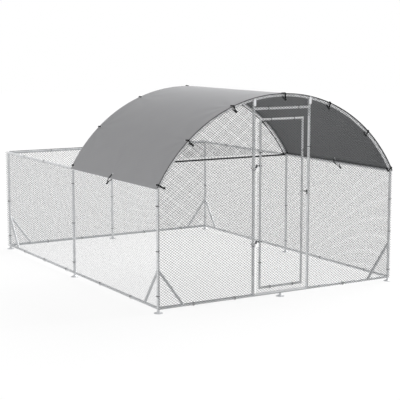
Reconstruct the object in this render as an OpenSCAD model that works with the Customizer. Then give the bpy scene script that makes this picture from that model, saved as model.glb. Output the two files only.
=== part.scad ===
// Walk-in chicken run: a tube frame with an arched, covered bay, a low yard behind it,
// wire mesh on every wall and a hinged, bolted door in the front arch.
// X runs to the right along the front, Y from the front to the back, Z up from the ground.

/* [Run] */
// Width between the side tubes, centre to centre
run_w = 2800; // [2200:10:3400]
// Length of the covered bay, front arch to middle arch
dome_l = 1900; // [1300:10:2500]
// Length of the open yard behind the middle arch
yard_l = 1900; // [1300:10:2500]
// Height of the top rails above the ground
wall_h = 1190; // [1000:5:1400]
// Rise of the arches above the top rails
arch_rise = 835; // [780:5:1000]
// Height of the bottom rails above the ground
base_z = 47; // [42:1:70]

/* [Tubes] */
// Outside diameter of the frame tubes
tube_d = 28; // [24:0.5:32]
// Wall of every tube
tube_wall = 1.5; // [1:0.1:2]
// Reach of a fitting's shoulder from the centre of its joint
hub_reach = 20; // [18:1:40]
// Depth to which a fitting plugs into a tube
plug_depth = 35; // [20:1:80]
// Outside diameter of the corner braces
brace_d = 19; // [14:0.5:19]
// Height at which a brace meets its post
brace_up = 405; // [250:5:600]
// Distance from the corner at which a brace meets its rail
brace_out = 262; // [150:5:400]
// Diameter of the tie rod across the middle arch
tie_d = 8; // [5:0.5:12]

/* [Feet] */
// Diameter of a foot plate
foot_d = 86; // [60:1:120]
// Thickness of a foot plate at its rim
foot_rim = 4; // [2:0.5:6]
// Diameter of a foot's neck
foot_neck_d = 24; // [16:0.5:26]

/* [Door] */
// Gap between the door posts, centre to centre
door_post_gap = 662; // [640:2:700]
// Width of the door, stile centre to stile centre
door_w = 504; // [470:2:520]
// Height of the door's bottom rail above the ground
door_low_z = 114; // [90:2:200]
// Distance of the header rail below the arch's crown
header_drop = 125; // [95:1:165]
// Distance of the door's top rail below the header rail
door_top_gap = 107; // [80:1:300]
// Outside diameter of the door's tubes
door_tube_d = 22; // [18:0.5:26]
// Height of the lower hinge
hinge_low_z = 581; // [300:5:700]
// Height of the upper hinge
hinge_high_z = 1338; // [1100:5:1550]
// Diameter of a hinge pin and of its shank
hinge_pin_d = 10; // [8:0.5:12]
// Distance from the post's side to the hinge pin's centre
hinge_reach = 22; // [18:0.5:24]
// Height of the latch
latch_z = 1054; // [900:2:1200]
// Diameter of the latch bolt
bolt_d = 10; // [8:0.5:12]
// Length of the keeper on the door post
keeper_l = 14; // [10:0.5:18]

/* [Mesh] */
// Width of a mesh diamond, drawn about ten times the woven size
diamond_w = 340; // [240:5:480]
// Height of a mesh diamond, drawn about ten times the woven size
diamond_h = 260; // [200:5:400]
// Width of a drawn strand
strand_w = 4; // [2:0.5:8]
// Thickness of a mesh panel
mesh_t = 2; // [1:0.5:4]

/* [Cover] */
// Thickness of the cover with its hems
cover_t = 2; // [1:0.5:3]
// Length by which the cover's lower edges pass the top rails
cover_drop = 12; // [4:1:14]
// Distance of an eyelet from the centre of the tube that it is tied to
eyelet_offset = 35; // [34:0.5:37]
// Clear diameter of an eyelet
eyelet_d = 12; // [11:0.5:14]
// Number of elastic ties on each arch
tie_count = 7; // [3:2:7]
// Step between the ties, as a share of the arch from its crown to its foot
tie_pitch_share = 0.342; // [0.28:0.002:0.35]
// Distance along an arch from its foot to its first tie
tie_foot_gap = 30; // [29:1:80]
// How far a tie of the lower edges runs along the wall, as a share of its run down the wall
tie_slant_share = 0.6; // [0:0.05:0.8]
// Diameter of a tie's ball
ball_d = 22; // [14:1:22]
// Diameter of a tie's elastic cord
cord_d = 5; // [3:0.5:5]

/* [Hidden] */
$fn = 64;
big_fn = 720;
bar_fn = 64;

// Colours
galvanised = [0.72, 0.73, 0.74];
pale_zinc = [0.82, 0.83, 0.85];
wire_grey = [0.58, 0.59, 0.60];
cloth_grey = [0.56, 0.56, 0.57];
black_plastic = [0.10, 0.10, 0.11];
dark_steel = [0.30, 0.31, 0.33];

// Clearances and overruns
seat = 0.3;         // gap between pieces that lie against each other
run_gap = 0.05;     // gap round a turning or sliding pin
over = 5;           // overrun of a cut
hub_ledge = 0.2;    // step between a fitting's ball and its straight shoulders

// Places of the frame
half_w = run_w / 2;
run_l = dome_l + yard_l;
front_y = -run_l / 2;
back_y = run_l / 2;
mid_y = front_y + dome_l;
tube_r = tube_d / 2;
door_tube_r = door_tube_d / 2;
plug_r = tube_r - tube_wall - seat;

// Arch: a circle through both wall tops that rises by arch_rise
arch_r = (arch_rise * arch_rise + half_w * half_w) / (2 * arch_rise);
arch_cz = wall_h + arch_rise - arch_r;
spring_deg = asin(half_w / arch_r);
hub_deg = arc_deg(hub_reach);
plug_deg = arc_deg(hub_reach + plug_depth);

// Feet
foot_top = base_z - tube_r - seat;
foot_cone_share = 0.34;
foot_cone_r = foot_d * foot_cone_share;

// Door, hinges and latch
header_z = wall_h + arch_rise - header_drop;
door_high_z = header_z - door_top_gap;
post_x = door_post_gap / 2;
stile_x = door_w / 2;
hinge_x = -post_x + tube_r + hinge_reach;
hinge_r = hinge_pin_d / 2;
hinge_zs = [hinge_low_z, hinge_high_z];
eye_wall = 5;
eye_h = 16;
eye_r = hinge_r + eye_wall;
hook_collar_h = 3;
hook_collar_r = hinge_r + eye_wall / 2;
hook_drop = eye_h / 2 + seat + hinge_r + hook_collar_h;
pin_top = 8;
nut_d = 20;
nut_h = 8;
washer_h = 2;
bolt_r = bolt_d / 2;
latch_wall = 4;
latch_r = bolt_r + latch_wall;
latch_gap = 3;
barrel_end = post_x - tube_r - keeper_l - latch_gap;
barrel_start = stile_x + door_tube_r;
handle_d = 7;
handle_l = 34;
knob_d = 14;
slot_end = 3;
bolt_back = 1;
bolt_tail = 17;
tip_gap = 1;
latch_travel = post_x - tube_r - seat - tip_gap - (barrel_end - bolt_back);
handle_x = barrel_start + slot_end + handle_d / 2 + bolt_back;
keeper_play = 1;
keeper_hole = bolt_d + 2 * keeper_play;
keeper_edge_r = 4;
keeper_drop = 24;
keeper_tab_t = 5;

// Screws of the joining plates and the keeper
screw_d = 6;
screw_head_d = 12;
screw_head_h = 4;
screw_nut_d = 11;
screw_nut_h = 5;
plate_w = 26;
plate_t = 3;
plate_up = 12;
plate_down = 62;
plate_screw_drop = 46;

// Mesh
mesh_edge = 5;
mesh_lap = 5;
mesh_low = base_z - mesh_edge - mesh_lap;
mesh_off = tube_r + seat;
door_mesh_off = door_tube_r + seat;
top_mesh_low = door_high_z + door_tube_r + mesh_edge;

// Cover, eyelets and elastic ties
cover_in_r = arch_r + tube_r + seat;
cover_lap = 14;
eyelet_wall = 1;
eyelet_flange = 5;
eyelet_gap = 0.2;
ball_off = 28;
ball_down = 42;
side_ball_off = 80;
side_ball_down = 9;
tie_pass_d = 9;
side_pass_d = 20;
side_pass_drop = 49;
side_pass_run = 50;
ridge_gap = 20;
tie_mid = (tie_count - 1) / 2;
tie_end_deg = spring_deg - arc_deg(tie_foot_gap);
tie_degs = [for (i = [-tie_mid : tie_mid])
    i == 0 ? arc_deg(ridge_gap)
        : sign(i) * (abs(i) == tie_mid ? tie_end_deg : abs(i) * tie_pitch_share * spring_deg)];

// Routes of the elastic cords round an arch and round a top rail, in mm from the tube's centre:
// inward along the cover, then outward from the arch
arch_route = [
    [-24, -31.2], [-21.5, -18], [-20.3, -4], [-20, 8], [-18, 17], [-13, 21], [-3, 21.3], [14, 21],
    [26, 21.5], [32.5, 19.5], [35.5, 14], [36, 8], [34, 0], [24, -13], [8, -27], [-6, -35.5],
    [-17.2, -38]
];
side_route = [
    [-70.4, -5], [-50, 8], [-30, 16.5], [-14, 20], [0, 20.6], [14, 21],
    [26, 21.5], [32.5, 19.5], [35.5, 14], [36, 8], [33, -4], [22, -16], [6, -21.5], [-10, -19],
    [-28, -12.5], [-50, -10], [-70.2, -9.2]
];
cord_sides = 8;

function arc_deg(l) = l / arch_r * 180 / PI;
function arch_z(x) = arch_cz + sqrt(arch_r * arch_r - x * x);

// A tube of length l along Z
module pipe(l, d) {
    difference() {
        cylinder(d = d, h = l);
        translate([0, 0, -over]) cylinder(d = d - 2 * tube_wall, h = l + 2 * over);
    }
}

module pipe_x(x0, x1, y, z, d = tube_d) {
    translate([x0, y, z]) rotate([0, 90, 0]) pipe(x1 - x0, d);
}

module pipe_y(x, y0, y1, z, d = tube_d) {
    translate([x, y0, z]) rotate([-90, 0, 0]) pipe(y1 - y0, d);
}

module pipe_z(x, y, z0, z1, d = tube_d) {
    translate([x, y, z0]) pipe(z1 - z0, d);
}

// A solid rod along X from x0 to x1
module rod_x(x0, x1, y, z, d) {
    translate([x0, y, z]) rotate([0, 90, 0]) cylinder(d = d, h = x1 - x0);
}

// A solid rod along Y from y0 to y1
module rod_y(x, y0, y1, z, d) {
    translate([x, y0, z]) rotate([-90, 0, 0]) cylinder(d = d, h = y1 - y0);
}

// A solid rod along Z from z0 to z1
module rod_z(x, y, z0, z1, d) {
    translate([x, y, z0]) cylinder(d = d, h = z1 - z0);
}

// Part of the arch's circle, between two angles from the vertical, as a round bar
module arch_bar(deg0, deg1, y, d) {
    translate([0, y, arch_cz]) rotate([90, 0, 0]) rotate([0, 0, 90 - deg1])
        rotate_extrude(angle = deg1 - deg0, $fn = big_fn) translate([arch_r, 0]) circle(d = d, $fn = bar_fn);
}

// Places its children on the arch at an angle from the vertical, with Z pointing outward
module on_arch(deg, y) {
    translate([0, y, arch_cz]) rotate([0, deg, 0]) translate([0, 0, arch_r]) children();
}

// Posts and rails between plug-in fittings

module post(x, y) {
    color(galvanised) pipe_z(x, y, base_z + hub_reach, wall_h - hub_reach);
}

module rail_x(x0, x1, y, z) {
    color(galvanised) pipe_x(x0 + hub_reach, x1 - hub_reach, y, z);
}

module rail_y(x, y0, y1, z) {
    color(galvanised) pipe_y(x, y0 + hub_reach, y1 - hub_reach, z);
}

// A door post, coped on the bottom rail and under the front arch
module door_post(x) {
    deg = asin(x / arch_r);
    cope_d = tube_d + 2 * seat;
    difference() {
        pipe_z(x, front_y, base_z, arch_z(x));
        rod_x(x - tube_d, x + tube_d, front_y, base_z, cope_d);
        arch_bar(deg - hub_deg * 2, deg + hub_deg * 2, front_y, cope_d);
        rod_y(x, front_y - tube_d, front_y + tube_d, arch_z(x) - plate_screw_drop, screw_d + 2 * seat);
    }
}

module door_post_left() {
    color(galvanised) difference() {
        door_post(-post_x);
        for (z = hinge_zs)
            rod_x(-post_x - tube_d, -post_x + tube_d, front_y, z - hook_drop, hinge_pin_d + 2 * seat);
    }
}

module door_post_right() {
    color(galvanised) difference() {
        door_post(post_x);
        rod_x(post_x - tube_d, post_x + tube_d, front_y, latch_z - keeper_drop, screw_d + 2 * seat);
    }
}

module header_rail() {
    color(galvanised) difference() {
        pipe_x(-post_x, post_x, front_y, header_z);
        for (x = [-post_x, post_x])
            rod_z(x, front_y, header_z - tube_d, header_z + tube_d, tube_d + 2 * seat);
    }
}

// Half of an arch, from its foot fitting to its ridge fitting
module half_arch(y, side) {
    deg0 = side < 0 ? -spring_deg + hub_deg : hub_deg;
    deg1 = side < 0 ? -hub_deg : spring_deg - hub_deg;
    color(galvanised) difference() {
        arch_bar(deg0, deg1, y, tube_d);
        arch_bar(deg0 - hub_deg, deg1 + hub_deg, y, tube_d - 2 * tube_wall);
        if (y == front_y)
            rod_y(side * post_x, y - tube_d, y + tube_d, arch_z(post_x), screw_d + 2 * seat);
    }
}

module ridge_tube() {
    color(galvanised) pipe_y(0, front_y + hub_reach, mid_y - hub_reach, wall_h + arch_rise);
}

module gable_tie() {
    color(dark_steel) rod_x(-half_w, half_w, mid_y, wall_h, tie_d);
}

// Plug-in fittings: a ball with a shoulder and a plug for each tube

module arm(turn) {
    rotate(turn) {
        cylinder(d = tube_d, h = hub_reach);
        cylinder(r = plug_r, h = hub_reach + plug_depth);
    }
}

to_right = [0, 90, 0];
to_left = [0, -90, 0];
to_back = [-90, 0, 0];
to_front = [90, 0, 0];
to_top = [0, 0, 0];
to_ground = [180, 0, 0];

module fitting(turns) {
    sphere(r = tube_r - hub_ledge);
    for (t = turns) arm(t);
}

// The arch's own shoulder and plug, from an angle towards another
module arch_arm(from_deg, way, y) {
    shoulder = from_deg + way * hub_deg;
    plug = from_deg + way * plug_deg;
    arch_bar(min(from_deg, shoulder), max(from_deg, shoulder), y, tube_d - hub_ledge);
    arch_bar(min(from_deg, plug), max(from_deg, plug), y, 2 * plug_r);
}

// A fitting of the bottom frame, with the neck that its foot carries
module base_fitting(x, y, turns) {
    translate([x, y, base_z]) fitting(turns);
    rod_z(x, y, foot_top, base_z, foot_neck_d);
}

module base_fittings() {
    color(galvanised) {
        base_fitting(-half_w, front_y, [to_right, to_back, to_top]);
        base_fitting(half_w, front_y, [to_left, to_back, to_top]);
        base_fitting(-half_w, back_y, [to_right, to_front, to_top]);
        base_fitting(half_w, back_y, [to_left, to_front, to_top]);
        base_fitting(-half_w, mid_y, [to_front, to_back, to_top]);
        base_fitting(half_w, mid_y, [to_front, to_back, to_top]);
        base_fitting(0, back_y, [to_left, to_right, to_top]);
        base_fitting(0, front_y, [to_left, to_right]);
    }
}

module eave_fittings() {
    color(galvanised) {
        translate([-half_w, back_y, wall_h]) fitting([to_right, to_front, to_ground]);
        translate([half_w, back_y, wall_h]) fitting([to_left, to_front, to_ground]);
        translate([0, back_y, wall_h]) fitting([to_left, to_right, to_ground]);
    }
}

module arch_foot(side, y, turns) {
    translate([side * half_w, y, wall_h]) fitting(turns);
    arch_arm(side * spring_deg, -side, y);
}

module arch_foot_fittings() {
    color(galvanised) {
        for (side = [-1, 1]) {
            arch_foot(side, front_y, [to_back, to_ground]);
            difference() {
                arch_foot(side, mid_y, [to_front, to_back, to_ground]);
                rod_x(min(0, side * (half_w + seat)), max(0, side * (half_w + seat)),
                    mid_y, wall_h, tie_d + 2 * seat);
            }
        }
    }
}

module ridge_fitting(y, turn) {
    translate([0, y, wall_h + arch_rise]) fitting([turn]);
    for (way = [-1, 1]) arch_arm(0, way, y);
}

module ridge_fittings() {
    color(galvanised) {
        ridge_fitting(front_y, to_back);
        ridge_fitting(mid_y, to_front);
    }
}

// Feet: a round plate with a cone that carries the neck of its fitting
module foot(x, y) {
    translate([x, y, 0]) rotate_extrude() polygon([
        [0, 0], [foot_d / 2, 0], [foot_d / 2, foot_rim], [foot_cone_r, foot_rim + foot_rim / 2],
        [foot_neck_d / 2, (foot_rim + foot_top) / 2], [foot_neck_d / 2, foot_top], [0, foot_top]
    ]);
}

module feet() {
    color(pale_zinc) {
        for (x = [-half_w, half_w], y = [front_y, mid_y, back_y]) foot(x, y);
        for (y = [front_y, back_y]) foot(0, y);
    }
}

// A corner brace along X, coped on its post and its rail, for a corner at the origin
module brace() {
    rise = brace_up - base_z;
    lean = atan(brace_out / rise);
    difference() {
        translate([0, 0, brace_up]) rotate([0, 180 - lean, 0])
            pipe(sqrt(rise * rise + brace_out * brace_out), brace_d);
        rod_z(0, 0, 0, brace_up + brace_out, tube_d + 2 * seat);
        rod_x(0, brace_out + rise, 0, base_z, tube_d + 2 * seat);
    }
}

module corner_braces() {
    color(galvanised)
        for (sx = [-1, 1], sy = [-1, 1])
            translate([sx * half_w, sy * back_y, 0]) {
                rotate([0, 0, sx > 0 ? 180 : 0]) brace();
                rotate([0, 0, sy > 0 ? -90 : 90]) brace();
            }
}

// Joining plates in front of the mesh, from each door post to the arch
module post_plates() {
    y_plate = front_y - mesh_off - mesh_t - seat;
    color(pale_zinc)
        for (x = [-post_x, post_x])
            difference() {
                translate([x, y_plate, arch_z(x)]) rotate([90, 0, 0]) linear_extrude(plate_t) {
                    translate([0, plate_up - plate_w / 2]) circle(d = plate_w);
                    translate([-plate_w / 2, -plate_down])
                        square([plate_w, plate_down + plate_up - plate_w / 2]);
                }
                for (z = [arch_z(x), arch_z(x) - plate_screw_drop])
                    rod_y(x, y_plate - 2 * plate_t, y_plate + plate_t, z, screw_d + 2 * seat);
            }
}

// A screw along Z with its head below 0 and its nut above the grip
module screw(grip) {
    translate([0, 0, -screw_head_h]) cylinder(d = screw_head_d, h = screw_head_h);
    cylinder(d = screw_d, h = grip + screw_nut_h);
    translate([0, 0, grip]) cylinder(d = screw_nut_d, h = screw_nut_h, $fn = 6);
}

module fasteners() {
    y_head = front_y - mesh_off - mesh_t - seat - plate_t;
    color(dark_steel) {
        for (x = [-post_x, post_x], drop = [0, plate_screw_drop])
            translate([x, y_head, arch_z(x) - drop]) rotate([-90, 0, 0])
                screw(front_y + tube_r + seat - y_head);
        for (z = hinge_zs)
            difference() {
                translate([-post_x - tube_r - seat, front_y, z - hook_drop])
                    rotate([0, -90, 0]) {
                        cylinder(d = nut_d, h = washer_h);
                        cylinder(d = nut_d, h = nut_h, $fn = 6);
                    }
                rod_x(-post_x - tube_d - nut_d, -post_x, front_y, z - hook_drop, hinge_pin_d + 2 * seat);
            }
        translate([post_x + tube_r + seat, front_y, latch_z - keeper_drop]) rotate([0, -90, 0])
            screw(tube_d + keeper_tab_t + 3 * seat);
    }
}

// Mesh panels

diamond_a = diamond_w / 2;
diamond_b = diamond_h / 2;
diamond_edge = sqrt(diamond_a * diamond_a + diamond_b * diamond_b);
diamond_open_share = 1 - strand_w / 2 * diamond_edge / (diamond_a * diamond_b);

module diamond() {
    a = diamond_a * diamond_open_share;
    b = diamond_b * diamond_open_share;
    polygon([[a, 0], [0, b], [-a, 0], [0, -b]]);
}

// Rows of diamond openings that cover a rectangle
module openings(x0, x1, y0, y1) {
    for (j = [floor(y0 / diamond_b) : ceil(y1 / diamond_b)],
         i = [floor(x0 / diamond_w) - 1 : ceil(x1 / diamond_w)])
        translate([i * diamond_w + (abs(j) % 2) * diamond_a, j * diamond_b]) diamond();
}

module rect(x0, x1, y0, y1) {
    translate([x0, y0]) square([x1 - x0, y1 - y0]);
}

// A rectangular panel of mesh with an edge strand all round
module mesh_panel(x0, x1, y0, y1) {
    linear_extrude(mesh_t) difference() {
        rect(x0, x1, y0, y1);
        intersection() {
            rect(x0 + mesh_edge, x1 - mesh_edge, y0 + mesh_edge, y1 - mesh_edge);
            openings(x0, x1, y0, y1);
        }
    }
}

// The part of a rectangle that lies inside the arch
module under_arch(x0, x1, y0, inset) {
    intersection() {
        rect(x0 + inset, x1 - inset, y0 + inset, wall_h + arch_rise + tube_d);
        translate([0, arch_cz]) circle(r = arch_r + mesh_edge / 2 - inset, $fn = big_fn);
    }
}

// A panel of mesh that ends under the arch
module arch_mesh_panel(x0, x1, y0) {
    linear_extrude(mesh_t) difference() {
        under_arch(x0, x1, y0, 0);
        intersection() {
            under_arch(x0, x1, y0, mesh_edge);
            openings(x0, x1, y0, wall_h + arch_rise);
        }
    }
}

// Cuts where the elastic ties pass through the mesh beside an arch
module arch_tie_passes(y) {
    for (deg = tie_degs)
        on_arch(deg, y) rod_y(0, -mesh_off - tube_d, mesh_off + tube_d, -ball_down + cord_d, tie_pass_d);
}

module front_mesh(x0, x1, z0) {
    color(wire_grey) difference() {
        translate([0, front_y - mesh_off, 0]) rotate([90, 0, 0]) arch_mesh_panel(x0, x1, z0);
        arch_tie_passes(front_y);
    }
}

module mesh_front_left() {
    front_mesh(-half_w - mesh_lap, -post_x - mesh_lap, mesh_low);
}

module mesh_front_right() {
    front_mesh(post_x + mesh_lap, half_w + mesh_lap, mesh_low);
}

module mesh_front_top() {
    front_mesh(-post_x + mesh_lap, post_x - mesh_lap, top_mesh_low);
}

// A side's panel, with a hole where the tie of the cover's lower edge passes through
module side_mesh(side) {
    x = side * (half_w + mesh_off + mesh_t / 2) - mesh_t / 2;
    pass_y = front_y + dome_l / 2 - side * tie_slant_share * (eyelet_offset + side_pass_run);
    color(wire_grey) difference() {
        translate([x, 0, 0]) rotate([90, 0, 90])
            mesh_panel(front_y - mesh_lap, back_y + mesh_lap, mesh_low, wall_h - mesh_lap);
        rod_x(x - over, x + mesh_t + over, pass_y, wall_h - side_pass_drop, side_pass_d);
    }
}

module mesh_left() {
    side_mesh(-1);
}

module mesh_right() {
    side_mesh(1);
}

module mesh_back() {
    color(wire_grey) translate([0, back_y + mesh_off + mesh_t, 0]) rotate([90, 0, 0])
        mesh_panel(-half_w - mesh_lap, half_w + mesh_lap, mesh_low, wall_h + mesh_lap);
}

module mesh_gable() {
    color(wire_grey) difference() {
        translate([0, mid_y + mesh_off + mesh_t, 0]) rotate([90, 0, 0])
            arch_mesh_panel(-half_w + mesh_off, half_w - mesh_off, wall_h - mesh_lap);
        arch_tie_passes(mid_y);
    }
}

// Door

module door_stile(x) {
    pipe_z(x, front_y, door_low_z - door_tube_r, door_high_z + door_tube_r, door_tube_d);
}

module door_stile_left() {
    color(galvanised) difference() {
        door_stile(-stile_x);
        for (z = hinge_zs)
            rod_x(-stile_x - door_tube_d, -stile_x + door_tube_d, front_y, z, hinge_pin_d + 2 * seat);
    }
}

module door_stile_right() {
    color(galvanised) difference() {
        door_stile(stile_x);
        rod_x(stile_x - door_tube_d, stile_x + door_tube_d, front_y, latch_z, bolt_d + 2 * seat);
    }
}

module door_rail(z) {
    color(galvanised) difference() {
        pipe_x(-stile_x, stile_x, front_y, z, door_tube_d);
        for (x = [-stile_x, stile_x])
            rod_z(x, front_y, z - door_tube_d, z + door_tube_d, door_tube_d + 2 * seat);
    }
}

module door_top_rail() {
    door_rail(door_high_z);
}

module door_bottom_rail() {
    door_rail(door_low_z);
}

module mesh_door() {
    color(wire_grey) translate([0, front_y - door_mesh_off, 0]) rotate([90, 0, 0])
        mesh_panel(-stile_x - mesh_lap, stile_x + mesh_lap, door_low_z - mesh_lap, door_high_z + mesh_lap);
}

// Hinge hooks: a shank through the post that turns up into a pin with a collar under the eye
module hinge_hooks() {
    shank_end = -post_x - tube_r - seat - nut_h - washer_h;
    color(dark_steel)
        for (z = hinge_zs) {
            rod_x(shank_end, hinge_x, front_y, z - hook_drop, hinge_pin_d);
            rod_z(hinge_x, front_y, z - hook_drop - hinge_r, z + eye_h / 2 + pin_top, hinge_pin_d);
            rod_z(hinge_x, front_y, z - hook_drop, z - eye_h / 2 - seat, 2 * hook_collar_r);
        }
}

// Hinge eyes: a ring on the pin whose shank passes through the door's stile to a nut
module hinge_eyes() {
    outer = -stile_x - door_tube_r - seat;
    inner = -stile_x + door_tube_r + seat;
    color(dark_steel)
        for (z = hinge_zs)
            difference() {
                union() {
                    rod_z(hinge_x, front_y, z - eye_h / 2, z + eye_h / 2, 2 * eye_r);
                    rod_x(hinge_x, inner + nut_h, front_y, z, hinge_pin_d);
                    rod_x(outer - washer_h, outer, front_y, z, nut_d);
                    translate([inner, front_y, z]) rotate([0, 90, 0])
                        cylinder(d = nut_d, h = nut_h - washer_h, $fn = 6);
                }
                rod_z(hinge_x, front_y, z - eye_h, z + eye_h, hinge_pin_d + 2 * run_gap);
            }
}

// Latch: a slotted barrel on the door, a bolt with a handle and a keeper on the post

module latch_barrel() {
    color(dark_steel) difference() {
        rod_x(stile_x, barrel_end, front_y, latch_z, 2 * latch_r);
        rod_x(stile_x - over, barrel_end + over, front_y, latch_z, bolt_d + 2 * run_gap);
        rod_z(stile_x, front_y, latch_z - 2 * latch_r, latch_z + 2 * latch_r, door_tube_d + 2 * seat);
        handle_slot();
    }
}

// The slot in which the handle travels, with round ends
module handle_slot() {
    slot_d = handle_d + 2 * seat;
    for (x = [handle_x, handle_x + latch_travel])
        rod_y(x, front_y - 2 * latch_r, front_y, latch_z, slot_d);
    translate([handle_x, front_y - 2 * latch_r, latch_z - slot_d / 2])
        cube([latch_travel, 2 * latch_r, slot_d]);
}

module latch_bolt() {
    color(black_plastic) {
        rod_x(stile_x - bolt_tail, barrel_end - bolt_back, front_y, latch_z, bolt_d);
        rod_y(handle_x, front_y - handle_l, front_y, latch_z, handle_d);
        translate([handle_x, front_y - handle_l, latch_z]) sphere(d = knob_d);
    }
}

// A square with round corners, centred
module round_square(w, r) {
    square([w, w - 2 * r], center = true);
    square([w - 2 * r, w], center = true);
    for (x = [r - w / 2, w / 2 - r], y = [r - w / 2, w / 2 - r])
        translate([x, y]) circle(r = r);
}

// The keeper: a square loop for the bolt on a tab that is screwed to the post
module latch_keeper() {
    post_side = post_x - tube_r - seat;
    color(black_plastic) difference() {
        union() {
            translate([post_side - keeper_l + seat, front_y, latch_z]) rotate([0, 90, 0])
                linear_extrude(keeper_l - seat) round_square(2 * latch_r, keeper_edge_r);
            translate([post_side - keeper_tab_t, front_y - latch_r, latch_z - keeper_drop - screw_head_d])
                cube([keeper_tab_t, 2 * latch_r, keeper_drop + screw_head_d]);
        }
        translate([post_side - keeper_l / 2, front_y, latch_z])
            cube([2 * keeper_l, keeper_hole, keeper_hole], center = true);
        rod_x(post_side - 2 * keeper_l, post_side + over,
            front_y, latch_z - keeper_drop, screw_d + 2 * seat);
    }
}

// Cover: an arched sheet from the front arch to the middle arch

cover_deg = spring_deg + arc_deg(cover_drop);
side_eyelet_deg = spring_deg - arc_deg(eyelet_offset);

module cover_outline() {
    reach = 2 * arch_r;
    intersection() {
        difference() {
            circle(r = cover_in_r + cover_t, $fn = big_fn);
            circle(r = cover_in_r, $fn = big_fn);
        }
        polygon([[0, 0], [-reach * sin(cover_deg), reach * cos(cover_deg)],
            [-reach, reach], [reach, reach], [reach * sin(cover_deg), reach * cos(cover_deg)]]);
    }
}

// Places its children at every eyelet of the cover, with Z pointing outward
module at_eyelets() {
    for (deg = tie_degs) {
        on_arch(deg, front_y + eyelet_offset) children();
        on_arch(deg, mid_y - eyelet_offset) children();
    }
    for (side = [-1, 1]) on_arch(side * side_eyelet_deg, front_y + dome_l / 2) children();
}

module cover() {
    color(cloth_grey) difference() {
        translate([0, mid_y + cover_lap, arch_cz]) rotate([90, 0, 0])
            linear_extrude(dome_l + 2 * cover_lap) cover_outline();
        at_eyelets() translate([0, 0, tube_r - over])
            cylinder(d = eyelet_d + 2 * eyelet_wall + 2 * seat, h = cover_t + 2 * over);
    }
}

module eyelet() {
    bottom = tube_r + seat - eyelet_gap - eyelet_wall;
    height = cover_t + 2 * eyelet_gap + 2 * eyelet_wall;
    flange_d = eyelet_d + 2 * eyelet_wall + 2 * eyelet_flange;
    translate([0, 0, bottom]) difference() {
        union() {
            cylinder(d = eyelet_d + 2 * eyelet_wall, h = height);
            cylinder(d = flange_d, h = eyelet_wall);
            translate([0, 0, height - eyelet_wall]) cylinder(d = flange_d, h = eyelet_wall);
        }
        translate([0, 0, -over]) cylinder(d = eyelet_d, h = height + 2 * over);
    }
}

module cover_eyelets() {
    color(pale_zinc) at_eyelets() eyelet();
}

// Elastic ties: a cord through the eyelet and round the tube, held by a ball

// Direction of a route at one of its points
function route_way(route, i) =
    let (d = route[min(i + 1, len(route) - 1)] - route[max(i - 1, 0)]) d / norm(d);

// Sideways shift of a slanting cord at a distance along the cover
function slant_x(slant, u) = slant * (u - eyelet_offset);

// A round cord along a route in the YZ plane, slanting in X, as one closed skin
module cord(route, slant) {
    n = len(route);
    ring = [for (k = [0 : cord_sides - 1]) 360 * k / cord_sides];
    points = [for (i = [0 : n - 1], a = ring)
        let (way = route_way(route, i))
        [cord_d / 2 * sin(a) + slant_x(slant, route[i][0]),
            route[i][0] - cord_d / 2 * cos(a) * way[1],
            route[i][1] + cord_d / 2 * cos(a) * way[0]]];
    function at(i, k) = i * cord_sides + k % cord_sides;
    sides = [for (i = [0 : n - 2], k = [0 : cord_sides - 1], half = [0, 1])
        half == 0 ? [at(i, k), at(i, k + 1), at(i + 1, k + 1)] : [at(i, k), at(i + 1, k + 1), at(i + 1, k)]];
    start = [for (k = [1 : cord_sides - 2]) [at(0, 0), at(0, k + 1), at(0, k)]];
    end = [for (k = [1 : cord_sides - 2]) [at(n - 1, 0), at(n - 1, k), at(n - 1, k + 1)]];
    polyhedron(points, concat(sides, start, end));
}

// Places its first child at each arch's ties and its second at the ties of the lower edges
module at_ties() {
    for (deg = tie_degs) {
        on_arch(deg, front_y) children(0);
        on_arch(deg, mid_y) rotate([0, 0, 180]) children(0);
    }
    for (side = [-1, 1])
        on_arch(side * spring_deg, front_y + dome_l / 2) rotate([0, 0, side * 90]) children(1);
}

module tie_cords() {
    color(black_plastic) at_ties() {
        cord(arch_route, 0);
        cord(side_route, tie_slant_share);
    }
}

module tie_balls() {
    color(black_plastic) at_ties() {
        translate([0, -ball_off, -ball_down]) sphere(d = ball_d);
        translate([slant_x(tie_slant_share, -side_ball_off), -side_ball_off, -side_ball_down])
            sphere(d = ball_d);
    }
}

post(-half_w, front_y);  // corner_post_front_left
post(half_w, front_y);  // corner_post_front_right
post(-half_w, back_y);  // corner_post_back_left
post(half_w, back_y);  // corner_post_back_right
post(-half_w, mid_y);  // side_post_left
post(half_w, mid_y);  // side_post_right
post(0, back_y);  // back_post
door_post_left();
door_post_right();
rail_x(-half_w, 0, front_y, base_z);  // base_rail_front_left
rail_x(0, half_w, front_y, base_z);  // base_rail_front_right
rail_y(-half_w, front_y, mid_y, base_z);  // base_rail_left_front
rail_y(-half_w, mid_y, back_y, base_z);  // base_rail_left_back
rail_y(half_w, front_y, mid_y, base_z);  // base_rail_right_front
rail_y(half_w, mid_y, back_y, base_z);  // base_rail_right_back
rail_x(-half_w, 0, back_y, base_z);  // base_rail_back_left
rail_x(0, half_w, back_y, base_z);  // base_rail_back_right
rail_y(-half_w, front_y, mid_y, wall_h);  // top_rail_left_front
rail_y(-half_w, mid_y, back_y, wall_h);  // top_rail_left_back
rail_y(half_w, front_y, mid_y, wall_h);  // top_rail_right_front
rail_y(half_w, mid_y, back_y, wall_h);  // top_rail_right_back
rail_x(-half_w, 0, back_y, wall_h);  // top_rail_back_left
rail_x(0, half_w, back_y, wall_h);  // top_rail_back_right
header_rail();
half_arch(front_y, -1);  // front_arch_left
half_arch(front_y, 1);  // front_arch_right
half_arch(mid_y, -1);  // mid_arch_left
half_arch(mid_y, 1);  // mid_arch_right
ridge_tube();
gable_tie();
base_fittings();
eave_fittings();
arch_foot_fittings();
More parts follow.
